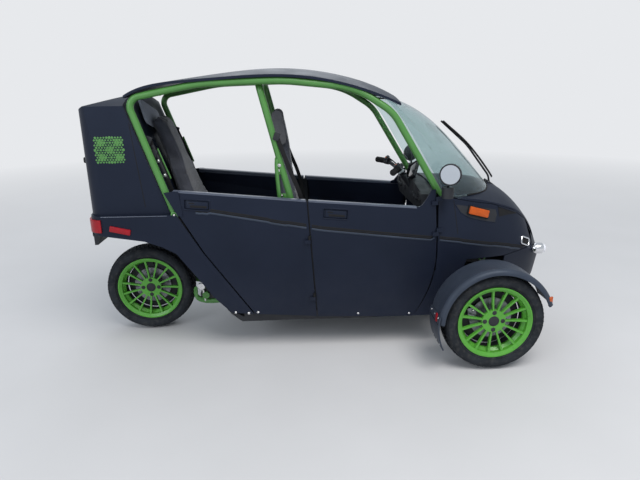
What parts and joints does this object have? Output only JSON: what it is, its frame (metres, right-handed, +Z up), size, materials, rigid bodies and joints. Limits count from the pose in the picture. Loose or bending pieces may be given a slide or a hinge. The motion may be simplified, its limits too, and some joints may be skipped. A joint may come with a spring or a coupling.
{
  "type": "three wheeled car",
  "caption": "Narrow tandem-seat electric three-wheeled car with a bent-tube cage, half doors, steered front wheels under turning fenders and one rear wheel.",
  "frame": {"origin": "on the ground, on the centreline, half way along the vehicle", "axes": "+X to the nose, +Y to the left, +Z up"},
  "size_m": [2.82, 1.562, 1.6386],
  "materials": {
    "panel_black": "satin",
    "fender_black": "grained",
    "frame_green": "gloss",
    "wheel_green": "gloss",
    "tyre_rubber": "matte",
    "chassis_black": "satin",
    "bare_steel": "turned",
    "screen_glass": "clear",
    "lamp_red": "gloss",
    "lamp_chrome": "polished",
    "seat_cover": "woven",
    "trim_black": "satin"
  },
  "bodies": {
    "chassis": {"roof_panel": "panel_black", "trunk_body": "panel_black", "tail_panel": "panel_black", "hood_panel": "panel_black", "front_quarter_right": "panel_black", "front_quarter_left": "panel_black", "nose_panel": "panel_black", "cage_right": "frame_green", "cage_left": "frame_green", "cage_hoop": "frame_green", "swingarm": "frame_green", "floor_tub": "chassis_black", "front_frame": "chassis_black", "battery_block": "chassis_black", "drive_motor": "chassis_black", "lower_arm_right": "chassis_black", "lower_arm_left": "chassis_black", "upper_arm_right": "chassis_black", "upper_arm_left": "chassis_black", "rear_damper": "bare_steel", "windscreen": "screen_glass", "tail_lamp_right": "lamp_red", "tail_lamp_left": "lamp_red", "headlamp_right": "lamp_chrome", "headlamp_left": "lamp_chrome", "front_seat_base": "seat_cover", "front_seat_back": "seat_cover", "rear_seat_base": "seat_cover", "rear_seat_back": "seat_cover", "dash": "trim_black", "mirror_right": "trim_black", "mirror_left": "trim_black", "wiper": "trim_black", "plate_bracket": "trim_black"},
    "front_wheel_right": {"tyre_front_right": "tyre_rubber", "rim_front_right": "wheel_green", "brake_disc_front_right": "bare_steel"},
    "front_wheel_left": {"tyre_front_left": "tyre_rubber", "rim_front_left": "wheel_green", "brake_disc_front_left": "bare_steel"},
    "rear_wheel": {"tyre_rear": "tyre_rubber", "rim_rear": "wheel_green", "brake_disc_rear": "bare_steel"},
    "steering_right": {"knuckle_right": "chassis_black", "fender_right": "fender_black"},
    "steering_left": {"knuckle_left": "chassis_black", "fender_left": "fender_black"},
    "steering_bar": {"handlebar": "chassis_black"},
    "door_front_right": {"front_door_right": "panel_black"},
    "door_front_left": {"front_door_left": "panel_black"},
    "door_rear_right": {"rear_door_right": "panel_black"},
    "door_rear_left": {"rear_door_left": "panel_black"},
    "luggage_lid": {"trunk_lid": "panel_black"}
  },
  "joints": [
    {"name": "steer_right", "type": "hinge", "parent": "chassis", "child": "steering_right", "pos_m": [0.924, -0.585, 0.283], "axis": [0, 0, 1], "range_deg": [-27, 27]},
    {"name": "steer_left", "type": "hinge", "parent": "chassis", "child": "steering_left", "pos_m": [0.924, 0.585, 0.283], "axis": [0, 0, 1], "range_deg": [-27, 27]},
    {"name": "bar_turn", "type": "hinge", "parent": "chassis", "child": "steering_bar", "pos_m": [0.545, 0, 0.985], "axis": [-0.6157, 0, 0.788], "range_deg": [-45, 45]},
    {"name": "front_right_roll", "type": "hinge", "parent": "steering_right", "child": "front_wheel_right", "pos_m": [0.924, -0.676, 0.283], "axis": [0, 1, 0], "continuous": true},
    {"name": "front_left_roll", "type": "hinge", "parent": "steering_left", "child": "front_wheel_left", "pos_m": [0.924, 0.676, 0.283], "axis": [0, 1, 0], "continuous": true},
    {"name": "rear_roll", "type": "hinge", "parent": "chassis", "child": "rear_wheel", "pos_m": [-1.108, 0, 0.283], "axis": [0, 1, 0], "continuous": true},
    {"name": "front_door_right_swing", "type": "hinge", "parent": "chassis", "child": "door_front_right", "pos_m": [0.6609, -0.45293, 0.724], "axis": [-0.0367, 0.0987, 0.9944], "range_deg": [0, 55]},
    {"name": "front_door_left_swing", "type": "hinge", "parent": "chassis", "child": "door_front_left", "pos_m": [0.6609, 0.45293, 0.724], "axis": [0.0367, 0.0987, -0.9944], "range_deg": [0, 55]},
    {"name": "rear_door_right_swing", "type": "hinge", "parent": "chassis", "child": "door_rear_right", "pos_m": [-0.04767, -0.44005, 0.345], "axis": [-0.0664, -0.0517, 0.9964], "range_deg": [0, 65]},
    {"name": "rear_door_left_swing", "type": "hinge", "parent": "chassis", "child": "door_rear_left", "pos_m": [-0.04767, 0.44005, 0.345], "axis": [0.0664, -0.0517, -0.9964], "range_deg": [0, 65]},
    {"name": "lid_swing", "type": "hinge", "parent": "chassis", "child": "luggage_lid", "pos_m": [-1.31405, 0.2975, 1.01], "axis": [0, 0, -1], "range_deg": [0, 110]}
  ],
  "couplings": [
    {"joint": "steer_left", "follows": "steer_right", "ratio": 1},
    {"joint": "bar_turn", "follows": "steer_right", "ratio": 1.6666}
  ]
}
